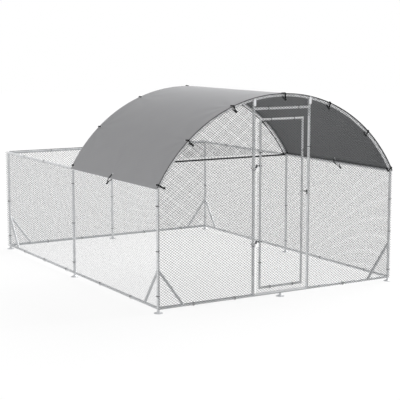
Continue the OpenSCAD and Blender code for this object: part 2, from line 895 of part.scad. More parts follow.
ridge_fittings();
feet();
corner_braces();
post_plates();
fasteners();
mesh_front_left();
mesh_front_right();
mesh_front_top();
mesh_left();
mesh_right();
mesh_back();
mesh_gable();
door_stile_left();
door_stile_right();
door_top_rail();
door_bottom_rail();
mesh_door();
hinge_hooks();
hinge_eyes();
latch_barrel();
latch_bolt();
latch_keeper();
cover();
cover_eyelets();
tie_cords();
tie_balls();
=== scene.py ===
"""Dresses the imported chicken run: wire mesh, cloth cover, braces, elastic ties, cable ties, metal finishes, stage."""
import math

import bpy
import numpy as np
from bpy.props import FloatProperty, FloatVectorProperty, IntProperty, PointerProperty, StringProperty
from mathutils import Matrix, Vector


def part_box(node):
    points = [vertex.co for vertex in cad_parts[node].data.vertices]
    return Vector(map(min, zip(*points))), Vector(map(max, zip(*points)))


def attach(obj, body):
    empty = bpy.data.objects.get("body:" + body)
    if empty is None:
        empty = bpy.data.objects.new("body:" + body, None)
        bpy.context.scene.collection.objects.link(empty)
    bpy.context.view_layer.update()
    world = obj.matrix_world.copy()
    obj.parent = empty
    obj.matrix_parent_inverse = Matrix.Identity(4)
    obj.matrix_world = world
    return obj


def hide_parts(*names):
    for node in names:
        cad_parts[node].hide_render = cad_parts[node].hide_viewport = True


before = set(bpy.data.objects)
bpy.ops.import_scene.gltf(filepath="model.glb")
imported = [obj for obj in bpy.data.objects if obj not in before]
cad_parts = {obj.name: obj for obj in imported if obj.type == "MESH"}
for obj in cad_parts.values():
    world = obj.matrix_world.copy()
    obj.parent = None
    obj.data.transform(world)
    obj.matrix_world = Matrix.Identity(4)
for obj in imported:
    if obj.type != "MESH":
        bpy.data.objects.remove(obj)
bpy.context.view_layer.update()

bl_info = {
    "name": "Chicken run",
    "version": (1, 0, 0),
    "blender": (4, 5, 0),
    "location": "3D View > Sidebar > Chicken run",
    "description": "Wire mesh, cloth cover, ties and metal finishes for a walk-in chicken run",
    "category": "Object",
}


def middle(node):
    """Middle of a CAD node's box."""
    low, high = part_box(node)
    return (np.array(low) + np.array(high)) / 2


def span(node):
    """Size of a CAD node's box."""
    low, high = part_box(node)
    return np.array(high) - np.array(low)


# Places of the frame, in metres
HALF_W = -middle("corner_post_front_left")[0]
FRONT_Y = middle("corner_post_front_left")[1]
MID_Y = middle("side_post_left")[1]
BACK_Y = middle("back_post")[1]
BASE_Z = middle("base_rail_left_front")[2]
WALL_Z = middle("top_rail_left_front")[2]
CROWN_Z = middle("ridge_tube")[2]
POST_X = middle("door_post_right")[0]
STILE_X = middle("door_stile_right")[0]
DOOR_LOW_Z = middle("door_bottom_rail")[2]
DOOR_HIGH_Z = middle("door_top_rail")[2]
HEADER_Z = middle("header_rail")[2]
TUBE_R = span("ridge_tube")[0] / 2
DOOR_TUBE_R = span("door_top_rail")[2] / 2
RISE = CROWN_Z - WALL_Z
ARCH_R = (RISE ** 2 + HALF_W ** 2) / (2 * RISE)
ARCH_Z = CROWN_Z - ARCH_R
SPRING = math.asin(HALF_W / ARCH_R)
SEAT = 0.0003  # play between pieces that touch
EYE_IN = 0.035  # from the middle of a tube to the eyelets beside it
TINY = 1e-5


# ---------------------------------------------------------------- sizes and colours a user would change

class MeshProps(bpy.types.PropertyGroup):
    pitch_w: FloatProperty(name="Diamond width", description="Width of one diamond of the wire mesh",
                           default=0.0345, min=0.02, max=0.08, unit="LENGTH")
    pitch_h: FloatProperty(name="Diamond height", description="Height of one diamond of the wire mesh",
                           default=0.026, min=0.015, max=0.08, unit="LENGTH")
    wire_d: FloatProperty(name="Wire", description="Diameter of the mesh wire of the front, back, gable and door",
                          default=0.0029, min=0.001, max=0.004, unit="LENGTH")
    left_wire_d: FloatProperty(name="Left wire", description="Diameter of the mesh wire of the left side",
                               default=0.0015, min=0.0008, max=0.004, unit="LENGTH")
    right_wire_d: FloatProperty(name="Right wire", description="Diameter of the mesh wire of the right side",
                                default=0.00175, min=0.0008, max=0.004, unit="LENGTH")
    right_pitch: FloatProperty(name="Right pitch", description="Size of the right side's diamonds against the others'",
                               default=0.9, min=0.89, max=1.2, subtype="FACTOR")
    edge_d: FloatProperty(name="Edge wire", description="Diameter of the tension wires along the arches",
                          default=0.006, min=0.002, max=0.007, unit="LENGTH")
    tip: FloatProperty(name="Tips", description="How far the back's cut wire ends reach past its outer tubes' middle",
                       default=0.027, min=0.0, max=0.04, unit="LENGTH")
    # The left side's pair is lighter than the other panels' pair, though both are the same wire: the lighter pair is
    # painted light and the darker pair is painted shade.
    dark: StringProperty(name="Dark zinc", description="Darker crystals of the wire, sRGB hex", default="#414244")
    light: StringProperty(name="Light zinc", description="Lighter crystals of the wire, sRGB hex", default="#5A5C5E")
    left_dark: StringProperty(name="Left dark", description="Darker crystals of the left wire, sRGB hex",
                              default="#85878A")
    left_light: StringProperty(name="Left light", description="Lighter crystals of the left wire, sRGB hex",
                               default="#9FA1A4")


class BraceProps(bpy.types.PropertyGroup):
    tube_d: FloatProperty(name="Tube", description="Diameter of the corner braces",
                          default=0.026, min=0.014, max=0.027, unit="LENGTH")
    up: FloatProperty(name="Up", description="Height at which a brace meets the middle of its post",
                      default=0.418, min=0.25, max=0.6, unit="LENGTH")
    out: FloatProperty(name="Out", description="Distance from the corner at which a brace meets the middle of its rail",
                       default=0.274, min=0.15, max=0.4, unit="LENGTH")
    dark: StringProperty(name="Dark zinc", description="Darker crystals of the braces, sRGB hex", default="#CACCCE")
    light: StringProperty(name="Light zinc", description="Lighter crystals of the braces, sRGB hex", default="#E4E5E6")


class CoverProps(bpy.types.PropertyGroup):
    thick: FloatProperty(name="Thickness", description="Thickness of the cover cloth",
                         default=0.0012, min=0.0005, max=0.002, unit="LENGTH")
    drop: FloatProperty(name="Drop", description="How far the cloth hangs past the top rail's middle",
                        default=0.012, min=0.0, max=0.03, unit="LENGTH")
    lap: FloatProperty(name="Lap", description="How far the cloth reaches past the arches' middle",
                       default=0.015, min=0.0, max=0.02, unit="LENGTH")
    hem: FloatProperty(name="Hem", description="Width of the sewn hem",
                       default=0.055, min=0.02, max=0.08, unit="LENGTH")
    sag: FloatProperty(name="Sag", description="How far the cloth dips between the ridge, the arches and the rails",
                       default=0.007, min=0.0, max=0.02, unit="LENGTH")
    fold: FloatProperty(name="Fold", description="Height of the folds that run out from the eyelets",
                        default=0.0014, min=0.0, max=0.002, unit="LENGTH")
    reach: FloatProperty(name="Reach", description="Distance from an eyelet at which its folds are highest",
                         default=0.14, min=0.05, max=0.4, unit="LENGTH")
    outer: StringProperty(name="Outer colour", description="Weather side of the cloth, sRGB hex", default="#9B9B9D")
    inner: StringProperty(name="Inner colour", description="Coated under side of the cloth, sRGB hex",
                          default="#6B6C6D")


class TieProps(bpy.types.PropertyGroup):
    count: IntProperty(name="Ties", description="Elastic ties on each arch", default=7, min=3, max=11)
    pitch: FloatProperty(name="Step", description="Step between ties, as a share of the arch from crown to foot",
                         default=0.342, min=0.28, max=0.35, subtype="FACTOR")
    foot_gap: FloatProperty(name="End gap", description="Arc from the arch's foot to the last tie",
                            default=0.030, min=0.029, max=0.2, unit="LENGTH")
    crown_gap: FloatProperty(name="Crown gap", description="Arc from the ridge to the tie beside it",
                             default=0.020, min=0.0, max=0.1, unit="LENGTH")
    slant: FloatProperty(name="Slant", description="Run of a lower tie along the wall for each metre down it",
                         default=0.6, min=0.0, max=0.8, subtype="FACTOR")
    cord_d: FloatProperty(name="Cord", description="Diameter of one strand of the elastic cord",
                          default=0.0068, min=0.002, max=0.008, unit="LENGTH")
    ball_d: FloatProperty(name="Ball", description="Diameter of the ball on a tie",
                          default=0.025, min=0.015, max=0.03, unit="LENGTH")
    strap_w: FloatProperty(name="Cable tie", description="Width of the cable ties that hold the mesh to the tubes",
                           default=0.0048, min=0.002, max=0.009, unit="LENGTH")
    colour: StringProperty(name="Colour", description="Black of cord and plastic, sRGB hex", default="#0F1011")


class StageProps(bpy.types.PropertyGroup):
    eye: FloatVectorProperty(name="Camera", description="Place of the camera",
                             default=(-6.352, -10.995, 2.5945), subtype="TRANSLATION")
    turn: FloatProperty(name="Turn", description="Turn of the view from +Y towards +X",
                        default=0.5367, subtype="ANGLE")
    tilt: FloatProperty(name="Tilt", description="Downward tilt of the view", default=0.1449, subtype="ANGLE")
    lens: FloatProperty(name="Lens", description="Focal length in mm on a 36 mm sensor", default=100.876,
                        unit="CAMERA")
    sky: FloatProperty(name="Sky", description="Strength of the even light all round", default=0.58)
    sun: FloatProperty(name="Lamp", description="Strength of the large soft lamp overhead", default=4.5)
    fill: FloatProperty(name="Fill", description="Strength of the low lamp in front", default=0.38)
    floor: StringProperty(name="Floor", description="Floor colour, sRGB hex", default="#F4F4F4")


# ---------------------------------------------------------------- meshes

def linear(hex_code):
    """sRGB hex to linear RGBA: each channel c becomes ((c + 0.055) / 1.055) ^ 2.4, or c / 12.92 when dark."""
    c = np.array([int(hex_code[i:i + 2], 16) for i in (1, 3, 5)]) / 255
    c = np.where(c <= 0.04045, c / 12.92, ((c + 0.055) / 1.055) ** 2.4)
    return (*c.tolist(), 1.0)


def shell(name, points, quads, material, uv=None, smooth=True):
    """A mesh object from points (n, 3) and quads (m, 4), whole arrays at once; uv is one pair for each point."""
    mesh = bpy.data.meshes.new(name)
    mesh.vertices.add(len(points))
    mesh.vertices.foreach_set("co", np.asarray(points, np.float32).ravel())
    mesh.loops.add(quads.size)
    mesh.loops.foreach_set("vertex_index", np.asarray(quads, np.int32).ravel())
    mesh.polygons.add(len(quads))
    mesh.polygons.foreach_set("loop_start", np.arange(0, quads.size, 4, dtype=np.int32))
    mesh.polygons.foreach_set("use_smooth", np.full(len(quads), smooth))
    mesh.update(calc_edges=True)
    if uv is not None:
        layer = mesh.uv_layers.new(name="UVMap")
        layer.uv.foreach_set("vector", np.asarray(uv, np.float32)[quads.ravel()].ravel())
    mesh.validate()
    mesh.materials.append(material)
    piece = bpy.data.objects.new(name, mesh)
    bpy.context.scene.collection.objects.link(piece)
    return piece


def put(name, shape, material, body, node=None, smooth=True):
    """Makes a shape of points, quads and perhaps uv into a piece that rides on a body and may stand for a CAD node."""
    piece = shell(name, *shape[:2], material, *shape[2:], smooth=smooth)
    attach(piece, body)
    if node:
        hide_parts(node)
    return piece


def grid_quads(rows, cols, wrap=False):
    """Quads of a grid of rows by cols points, each joining a point to the next both ways; wrap closes the columns."""
    r, c = np.meshgrid(np.arange(rows - 1), np.arange(cols if wrap else cols - 1), indexing="ij")
    d = (c + 1) % cols
    return np.stack([r * cols + c, r * cols + d, (r + 1) * cols + d, (r + 1) * cols + c], -1).reshape(-1, 4)


def repeat(quads, count, size):
    """The same quads for count copies of a shape that has size points each."""
    return (quads[None] + (np.arange(count) * size)[:, None, None]).reshape(-1, 4)


def joined(parts):
    """Joins shapes given as points, quads and, if there is one, uv into one shape of the same kind."""
    starts = np.cumsum([0] + [len(p[0]) for p in parts[:-1]])
    quads = np.concatenate([p[1] + s for p, s in zip(parts, starts)])
    return (np.concatenate([p[0] for p in parts]), quads, *(np.concatenate(uv) for uv in list(zip(*parts))[2:]))


def lid(count):
    """Quads that close a ring of count points, each joining two steps on one side to the two across from them."""
    i = np.arange(count // 2 - 1)
    return np.stack([i, count - 1 - i, count - 2 - i, i + 1], -1)


def capped(rows, sides):
    """Quads of a closed tube: a grid of rings, with a lid on the first and one on the last."""
    ends = lid(sides)
    return np.concatenate([grid_quads(rows, sides, wrap=True), ends, ends[:, ::-1] + (rows - 1) * sides])


def turns(count):
    """Even angles of one full turn."""
    return np.arange(count) * 2 * math.pi / count


def circles(first, second, sides):
    """Unit circles in the plane of two directions: cosine of the angle times the first plus sine times the second."""
    a = turns(sides)[:, None]
    return np.cos(a) * first[..., None, :] + np.sin(a) * second[..., None, :]


def woven_wires(u0, u1, v0, v_end, pitch_w, pitch_h, wire_d):
    """Chain-link mesh in its own plane: wire k stands at half a diamond's spacing and bends left and right every half
    diamond of height, neighbours in opposite turn, so that each bend hooks the next wire's bend, also across the edge
    of two patches, since wires count from u = 0. A bend to the right stands half a wire in front of the plane and a
    bend to the left half a wire behind it. Each wire is a four-sided tube with closed ends. v_end gives the height at
    which the wire at u is cut. Returns points (u, v, w) and quads."""
    hook = 0.3 * wire_d
    half_w, half_h = pitch_w / 2, pitch_h / 2
    wires = int(round((u1 - u0) / half_w))
    k = np.arange(wires)
    middle_u = u0 + (k + 0.5) * (u1 - u0) / wires
    first = math.floor(u0 / half_w)
    last = np.floor((v_end(middle_u) - v0) / half_h).astype(int)
    bends = last.max() + 1
    i = np.arange(bends)
    side = np.where((first + k[:, None] + i[None]) % 2 == 0, 1.0, -1.0)
    a = turns(4)
    stretch = math.hypot(half_w, half_h) / half_h
    r = wire_d / 2
    u = middle_u[:, None, None] + (side * (half_w / 2 + hook))[..., None] + r * stretch * np.cos(a)
    v = np.broadcast_to((v0 + i * half_h)[None, :, None], u.shape)
    w = (side * r)[..., None] + r * np.sin(a)
    points = np.stack([u, v, w], -1).reshape(-1, 3)
    index = np.arange(len(points)).reshape(wires, bends, 4)
    nxt = np.roll(index, -1, axis=2)
    walls = np.stack([index[:, :-1], index[:, 1:], nxt[:, 1:], nxt[:, :-1]], -1)
    walls = walls[i[None, :-1] < last[:, None]].reshape(-1, 4)
    low = index[k, 0]
    high = index[k, last][:, ::-1]
    quads = np.concatenate([walls, low, high])
    keep, back = np.unique(quads, return_inverse=True)
    return points[keep], back.reshape(quads.shape)


def tubes(paths, cross, radius, sides):
    """Round cords along paths (t, n, 3), each in a plane whose normal is cross (t, 3). A ring at each path point is
    radius times (cos a times the plane's normal plus sin a times the path's normal), and a lid closes each end. Returns
    points, quads and a uv of distance along and around the cord, in metres."""
    along = np.gradient(paths, axis=1)
    along /= np.linalg.norm(along, axis=2, keepdims=True)
    b = np.broadcast_to(cross[:, None], paths.shape)
    n = np.cross(b, along)
    points = paths[:, :, None] + radius * circles(b, n, sides)
    t, rows = paths.shape[:2]
    quads = repeat(capped(rows, sides)[:, ::-1], t, rows * sides)
    run = np.cumsum(np.linalg.norm(np.diff(paths, axis=1, prepend=paths[:, :1]), axis=2), axis=1)
    uv = np.stack(np.broadcast_arrays(run[:, :, None], (turns(sides) * radius)[None, None]), -1)
    return points.reshape(-1, 3), quads, uv.reshape(-1, 2)


def smooth_path(route, count):
    """A smooth curve through the route's points: on each stretch a cubic whose slope at a point is half the step
    between its neighbours, sampled at count even parameters."""
    p = np.concatenate([2 * route[:1] - route[1:2], route, 2 * route[-1:] - route[-2:-1]])
    s = np.linspace(0, len(route) - 1, count)
    i = np.minimum(s.astype(int), len(route) - 2)
    t = (s - i)[:, None]
    a, b, c, d = p[i], p[i + 1], p[i + 2], p[i + 3]
    return 0.5 * (2 * b + (c - a) * t + (2 * a - 5 * b + 4 * c - d) * t ** 2 + (3 * b - a - 3 * c + d) * t ** 3)


def arch_frame(angle, y):
    """Centre of the arch's tube at an angle from the crown, its outward normal and its tangent to the right."""
    angle = np.asarray(angle, float)
    zero = np.zeros_like(angle)
    out = np.stack([np.sin(angle), zero, np.cos(angle)], -1)
    right = np.stack([np.cos(angle), zero, -np.sin(angle)], -1)
    centre = ARCH_R * out + np.stack([zero, zero + y, zero + ARCH_Z], -1)
    return centre, out, right


def arch_height(x):
    """Height of the arch's middle line over x."""
    return ARCH_Z + np.sqrt(np.maximum(ARCH_R ** 2 - x ** 2, 0))


# ---------------------------------------------------------------- materials

RGBA = {"data_type": "RGBA"}
WHITE = (1.0, 1.0, 1.0, 1.0)
WAVES = 20  # a wave texture's bands for one unit of scale


def add(tree, kind, settings=None, inputs=None, links=None):
    """Adds a node with its settings, its input values and its links, given as input: (node, output)."""
    node = tree.nodes.new(kind)
    for key, value in (settings or {}).items():
        setattr(node, key, value)
    for key, value in (inputs or {}).items():
        node.inputs[key].default_value = value
    for key, (source, output) in (links or {}).items():
        tree.links.new(source.outputs[output], node.inputs[key])
    return node


def new_material(name):
    """An empty node material; returns it and its tree."""
    material = bpy.data.materials.new(name)
    material.use_nodes = True
    material.node_tree.nodes.clear()
    return material, material.node_tree


def skinned(material, shader):
    """The material, with the shader as its surface."""
    add(material.node_tree, "ShaderNodeOutputMaterial", links={0: (shader, 0)})
    return material


def shaded(colour, share):
    """A linear colour made darker or lighter by a share of its light."""
    return (*(share * c for c in colour[:3]), 1.0)


def direct_rays(tree):
    """A value of 1 for what the camera sees, directly, through something or in a reflection, and 0 for other light."""
    ray = add(tree, "ShaderNodeLightPath")
    seen = add(tree, "ShaderNodeMath", {"operation": "ADD"},
               links={0: (ray, "Is Camera Ray"), 1: (ray, "Is Transmission Ray")})
    return add(tree, "ShaderNodeMath", {"operation": "ADD", "use_clamp": True},
               links={0: (seen, 0), 1: (ray, "Is Glossy Ray")})


def per_metre(mm):
    """Texture scale of a pattern whose repeat is mm millimetres, on coordinates in metres."""
    return 1000 / mm


def galvanised_steel(name, dark, light, spangle_mm, metallic, rough, shine=0.5):
    """Hot-dip galvanised steel: grey zinc that froze in crystals, so patches of a few millimetres to a centimetre
    differ a little in tone and gloss, with a dull bloom of white rust here and there."""
    material, tree = new_material(name)
    here = {"Vector": (add(tree, "ShaderNodeTexCoord"), "Object")}
    crystal = add(tree, "ShaderNodeTexVoronoi", inputs={"Scale": per_metre(spangle_mm)}, links=here)
    tone = add(tree, "ShaderNodeSeparateColor", links={"Color": (crystal, "Color")})
    bloom = add(tree, "ShaderNodeTexNoise", inputs={"Scale": per_metre(120), "Detail": 5.0}, links=here)
    patch = add(tree, "ShaderNodeMapRange", inputs={"From Min": 0.42, "From Max": 0.68, "To Min": 0.0, "To Max": 0.55},
                links={"Value": (bloom, "Fac")})
    colour = add(tree, "ShaderNodeMix", RGBA, {6: linear(dark), 7: linear(light)}, {0: (tone, "Red")})
    bloom_and_shade = add(tree, "ShaderNodeMix", RGBA, {7: linear(light)}, {0: (patch, "Result"), 6: (colour, 2)})
    gloss = add(tree, "ShaderNodeMapRange", inputs={"To Min": rough - 0.07, "To Max": rough + 0.09},
                links={"Value": (tone, "Green")})
    grain = add(tree, "ShaderNodeTexNoise", inputs={"Scale": per_metre(2.5), "Detail": 3.0}, links=here)
    bump = add(tree, "ShaderNodeBump", inputs={"Strength": 0.12, "Distance": 0.0004}, links={"Height": (grain, "Fac")})
    metal = add(tree, "ShaderNodeBsdfPrincipled", inputs={"Metallic": metallic, "Specular IOR Level": shine},
                links={"Base Color": (bloom_and_shade, 2), "Roughness": (gloss, "Result"), "Normal": (bump, "Normal")})
    return skinned(material, metal)


def blackened_metal(name, dark, light, metallic, rough, wear):
    """Black-coated or darkly plated hardware: a near black skin with a faint orange peel and bare grey metal where
    handling has rubbed it, in small worn spots."""
    material, tree = new_material(name)
    here = {"Vector": (add(tree, "ShaderNodeTexCoord"), "Object")}
    rub = add(tree, "ShaderNodeTexNoise", inputs={"Scale": per_metre(9), "Detail": 6.0, "Roughness": 0.6}, links=here)
    worn = add(tree, "ShaderNodeMapRange", inputs={"From Min": 0.55, "From Max": 0.75, "To Min": 0.0, "To Max": wear},
               links={"Value": (rub, "Fac")})
    colour = add(tree, "ShaderNodeMix", RGBA, {6: linear(dark), 7: linear(light)}, {0: (worn, "Result")})
    gloss = add(tree, "ShaderNodeMapRange", inputs={"To Min": rough - 0.08, "To Max": rough + 0.1},
                links={"Value": (rub, "Fac")})
    peel = add(tree, "ShaderNodeTexNoise", inputs={"Scale": per_metre(1.6)}, links=here)
    bump = add(tree, "ShaderNodeBump", inputs={"Strength": 0.15, "Distance": 0.0002}, links={"Height": (peel, "Fac")})
    skin = add(tree, "ShaderNodeBsdfPrincipled", inputs={"Metallic": metallic},
               links={"Base Color": (colour, 2), "Roughness": (gloss, "Result"), "Normal": (bump, "Normal")})
    return skinned(material, skin)


def coated_cloth(name, colour, rough, thread_mm):
    """Woven polyester with a PVC or polyurethane coat: an even grey with a fine plain weave, slow soft mottling from
    the roll and a low satin gloss. The real thread is about 0.5 mm, too fine to show,
    so it is drawn coarser."""
    material, tree = new_material(name)
    here = {"Vector": (add(tree, "ShaderNodeUVMap", {"uv_map": "UVMap"}), "UV")}
    scale = {"Scale": per_metre(thread_mm) / WAVES}
    warp, weft = (add(tree, "ShaderNodeTexWave", {"bands_direction": way}, scale, here) for way in "XY")
    weave = add(tree, "ShaderNodeMath", {"operation": "MAXIMUM"}, links={0: (warp, "Fac"), 1: (weft, "Fac")})
    mottle = add(tree, "ShaderNodeTexNoise", inputs={"Scale": per_metre(240), "Detail": 4.0, "Roughness": 0.55},
                 links=here)
    base = linear(colour)
    shade = add(tree, "ShaderNodeMix", RGBA, {6: shaded(base, 0.93), 7: shaded(base, 1.05)}, {0: (mottle, "Fac")})
    thread = add(tree, "ShaderNodeMix", {**RGBA, "blend_type": "MULTIPLY"}, {0: 0.05}, {6: (shade, 2), 7: (weave, 0)})
    satin = add(tree, "ShaderNodeMapRange", inputs={"To Min": rough - 0.06, "To Max": rough + 0.06},
                links={"Value": (mottle, "Fac")})
    bump = add(tree, "ShaderNodeBump", inputs={"Strength": 0.12, "Distance": 0.0003}, links={"Height": (weave, 0)})
    skin = add(tree, "ShaderNodeBsdfPrincipled", inputs={"Specular IOR Level": 0.35},
               links={"Base Color": (thread, 2), "Roughness": (satin, "Result"), "Normal": (bump, "Normal")})
    return skinned(material, skin)


def braided_elastic(name, colour):
    """Rubber strands in a braided polyester sleeve: matt black with slanting ribs about 1.5 mm apart that catch a
    little light."""
    material, tree = new_material(name)
    cord = add(tree, "ShaderNodeUVMap", {"uv_map": "UVMap"})
    rib = add(tree, "ShaderNodeTexWave", {"bands_direction": "DIAGONAL"}, {"Scale": per_metre(1.5) / WAVES},
              {"Vector": (cord, "UV")})
    base = linear(colour)
    shade = add(tree, "ShaderNodeMix", RGBA, {6: base, 7: shaded(base, 2.4)}, {0: (rib, "Fac")})
    bump = add(tree, "ShaderNodeBump", inputs={"Strength": 0.5, "Distance": 0.0004}, links={"Height": (rib, "Fac")})
    sleeve = add(tree, "ShaderNodeBsdfPrincipled", inputs={"Roughness": 0.8, "Specular IOR Level": 0.2},
                 links={"Base Color": (shade, 2), "Normal": (bump, "Normal")})
    return skinned(material, sleeve)


def moulded_nylon(name, colour):
    """Injection-moulded black nylon: a low sheen with a fine spark-eroded grain and slight flow marks."""
    material, tree = new_material(name)
    here = {"Vector": (add(tree, "ShaderNodeTexCoord"), "Object")}
    grain, flow = (add(tree, "ShaderNodeTexNoise", inputs={"Scale": per_metre(mm), "Detail": 2.0}, links=here)
                   for mm in (1.2, 14))
    base = linear(colour)
    shade = add(tree, "ShaderNodeMix", RGBA, {6: base, 7: shaded(base, 1.7)}, {0: (flow, "Fac")})
    gloss = add(tree, "ShaderNodeMapRange", inputs={"To Min": 0.34, "To Max": 0.52}, links={"Value": (grain, "Fac")})
    bump = add(tree, "ShaderNodeBump", inputs={"Strength": 0.1, "Distance": 0.0002}, links={"Height": (grain, "Fac")})
    skin = add(tree, "ShaderNodeBsdfPrincipled", inputs={"Specular IOR Level": 0.3},
               links={"Base Color": (shade, 2), "Roughness": (gloss, "Result"), "Normal": (bump, "Normal")})
    return skinned(material, skin)


# ---------------------------------------------------------------- operators

class RUN_OT_stage(bpy.types.Operator):
    """Makes the floor, the even white surround, the soft lamps and the camera"""
    bl_idname = "chicken_run.stage"
    bl_label = "Stage"

    SENSOR_MM = 36.0
    FLOOR_RINGS = (0.02, 4.0, 40.0)
    FLOOR_SPOKES = 48
    FLOOR_Z = -0.0004
    FLOOR_WHITE = 0.9  # share of plain white in what the camera sees of the floor
    LAMP_TURNS = {"overhead": (-11.5, 61, 0), "front_fill": (76, 0, -60)}
    LAMP_SPREAD = 50

    def execute(self, context):
        props = context.scene.run_stage
        self.surround(context.scene, props)
        self.floor(props)
        self.lamps(props)
        data = bpy.data.cameras.new("camera")
        data.lens, data.sensor_width = props.lens, self.SENSOR_MM
        data.clip_start, data.clip_end = 0.1, 200.0
        camera = bpy.data.objects.new("camera", data)
        camera.location = props.eye
        camera.rotation_euler = (math.pi / 2 - props.tilt, 0.0, -props.turn)
        context.scene.collection.objects.link(camera)
        context.scene.camera = camera
        context.scene.view_settings.view_transform = "Standard"
        return {"FINISHED"}

    def surround(self, scene, props):
        """A world that is plain white to the camera and in reflections, and an even light otherwise."""
        scene.world = bpy.data.worlds.new("surround")
        scene.world.use_nodes = True
        tree = scene.world.node_tree
        tree.nodes.clear()
        light, white = (add(tree, "ShaderNodeBackground", inputs={"Color": WHITE, "Strength": strength})
                        for strength in (props.sky, 1.0))
        mix = add(tree, "ShaderNodeMixShader", links={0: (direct_rays(tree), 0), 1: (light, 0), 2: (white, 0)})
        add(tree, "ShaderNodeOutputWorld", links={0: (mix, 0)})

    def floor(self, props):
        """A flat round sheet, a grid of rings and spokes, nearly white to the camera, that keeps a faint shadow."""
        material, tree = new_material("pale_studio_floor")
        seen = direct_rays(tree)
        share = add(tree, "ShaderNodeMath", {"operation": "MULTIPLY"}, {1: self.FLOOR_WHITE}, {0: (seen, 0)})
        paint = add(tree, "ShaderNodeBsdfDiffuse", inputs={"Color": linear(props.floor)})
        white = add(tree, "ShaderNodeEmission", inputs={"Color": WHITE, "Strength": 1.0})
        skinned(material, add(tree, "ShaderNodeMixShader", links={0: (share, 0), 1: (paint, 0), 2: (white, 0)}))
        r, a = np.meshgrid(np.array(self.FLOOR_RINGS), turns(self.FLOOR_SPOKES), indexing="ij")
        points = np.stack([r * np.cos(a), r * np.sin(a), np.full_like(r, self.FLOOR_Z)], -1).reshape(-1, 3)
        shell("floor", points, grid_quads(*r.shape, wrap=True), material)

    def lamps(self, props):
        """A large soft lamp overhead, a little behind and to the right, and a low one that fills the front and left."""
        for name, energy in (("overhead", props.sun), ("front_fill", props.fill)):
            data = bpy.data.lights.new(name, "SUN")
            data.energy, data.angle = energy, math.radians(self.LAMP_SPREAD)
            lamp = bpy.data.objects.new(name, data)
            lamp.rotation_euler = [math.radians(t) for t in self.LAMP_TURNS[name]]
            bpy.context.scene.collection.objects.link(lamp)


class RUN_OT_finishes(bpy.types.Operator):
    """Gives the tubes, fittings, feet, plates, hinges and latch of the frame their metal finishes"""
    bl_idname = "chicken_run.finishes"
    bl_label = "Metal finishes"

    def execute(self, context):
        tube = galvanised_steel("galvanised_steel_tube", "#CED0D2", "#E8E9EA", 7, 0.4, 0.46)
        # real zinc plate on the post plates, fasteners, eyelets and latch barrel; on the header rail, the door's top
        # rail and the arches, a lighter copy of the tube finish as a painted highlight
        bright = galvanised_steel("zinc_plate_and_painted_highlight", "#DEDFE1", "#F1F1F2", 4, 0.35, 0.38)
        foot = galvanised_steel("pressed_zinc_foot", "#C8CACC", "#DDDEE0", 6, 0.4, 0.5)
        # a darker copy of the tube finish: painted shade on the back's top and base rails
        bloom_and_shade = galvanised_steel("galvanised_tube_painted_shade", "#B2B4B6", "#C9CBCD", 7, 0.4, 0.5)
        dark = blackened_metal("dark_zinc_hardware", "#5A5C5F", "#9EA1A4", 0.75, 0.42, 0.6)
        black = blackened_metal("black_coated_iron", "#1B1C1E", "#6E7073", 0.4, 0.45, 0.35)
        groups = {
            foot: ("feet",),
            bloom_and_shade: ("top_rail_back_left", "top_rail_back_right", "base_rail_back_left", "base_rail_back_right"),
            bright: ("post_plates", "fasteners", "cover_eyelets", "latch_barrel", "header_rail", "door_top_rail",
                     "front_arch_left", "front_arch_right", "mid_arch_left", "mid_arch_right"),
            dark: ("hinge_hooks", "hinge_eyes"),
            black: ("latch_bolt", "latch_keeper", "gable_tie"),
        }
        finish = {node: material for material, nodes in groups.items() for node in nodes}
        for name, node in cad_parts.items():
            node.data.materials.clear()
            node.data.materials.append(finish.get(name, tube))
        return {"FINISHED"}


class RUN_OT_braces(bpy.types.Operator):
    """Makes the corner braces as tubes coped on their posts and rails"""
    bl_idname = "chicken_run.braces"
    bl_label = "Corner braces"

    RIM = math.radians(30)  # edges that turn by more, round a brace's ends, are sharp, so that its wall looks round

    def execute(self, context):
        props = context.scene.run_braces
        zinc = galvanised_steel("galvanised_brace", props.dark, props.light, 7, 0.4, 0.46)
        points, quads = self.coped(props)
        up = np.array([0.0, 0.0, 1.0])
        parts = []
        for sx in (-1, 1):
            for y, sy in ((FRONT_Y, -1), (BACK_Y, 1)):
                for way in (np.array([-sx, 0.0, 0.0]), np.array([0.0, -sy, 0.0])):
                    turned = points @ np.stack([way, np.cross(up, way), up])
                    parts.append((turned + np.array([sx * HALF_W, y, 0.0]), quads))
        braces = put("brace_tubes", joined(parts), zinc, "frame", "corner_braces")
        braces.data.set_sharp_from_angle(angle=self.RIM)
        return {"FINISHED"}

    def coped(self, props):
        """One brace as points (along the wall, across it, up): a ring of straight lines side by side round the brace's
        axis. Each line starts where it meets the post's round face and ends where it meets the rail's, at the root of
        the tube's radius squared less its own distance across squared, so the ends are saddles that fit the tubes."""
        rise, out, sides = props.up - BASE_Z, props.out, 24
        length = math.hypot(rise, out)
        a = turns(sides)
        across, lift = props.tube_d / 2 * np.cos(a), props.tube_d / 2 * np.sin(a)
        face = np.sqrt((TUBE_R + SEAT) ** 2 - across ** 2)
        start = face * length / out - lift * rise / out
        end = (rise - face) * length / rise + lift * out / rise
        t = np.stack([start, end])
        along = (lift * rise + t * out) / length
        height = props.up + (lift * out - t * rise) / length
        points = np.stack(np.broadcast_arrays(along, across, height), -1).reshape(-1, 3)
        return points, capped(2, sides)


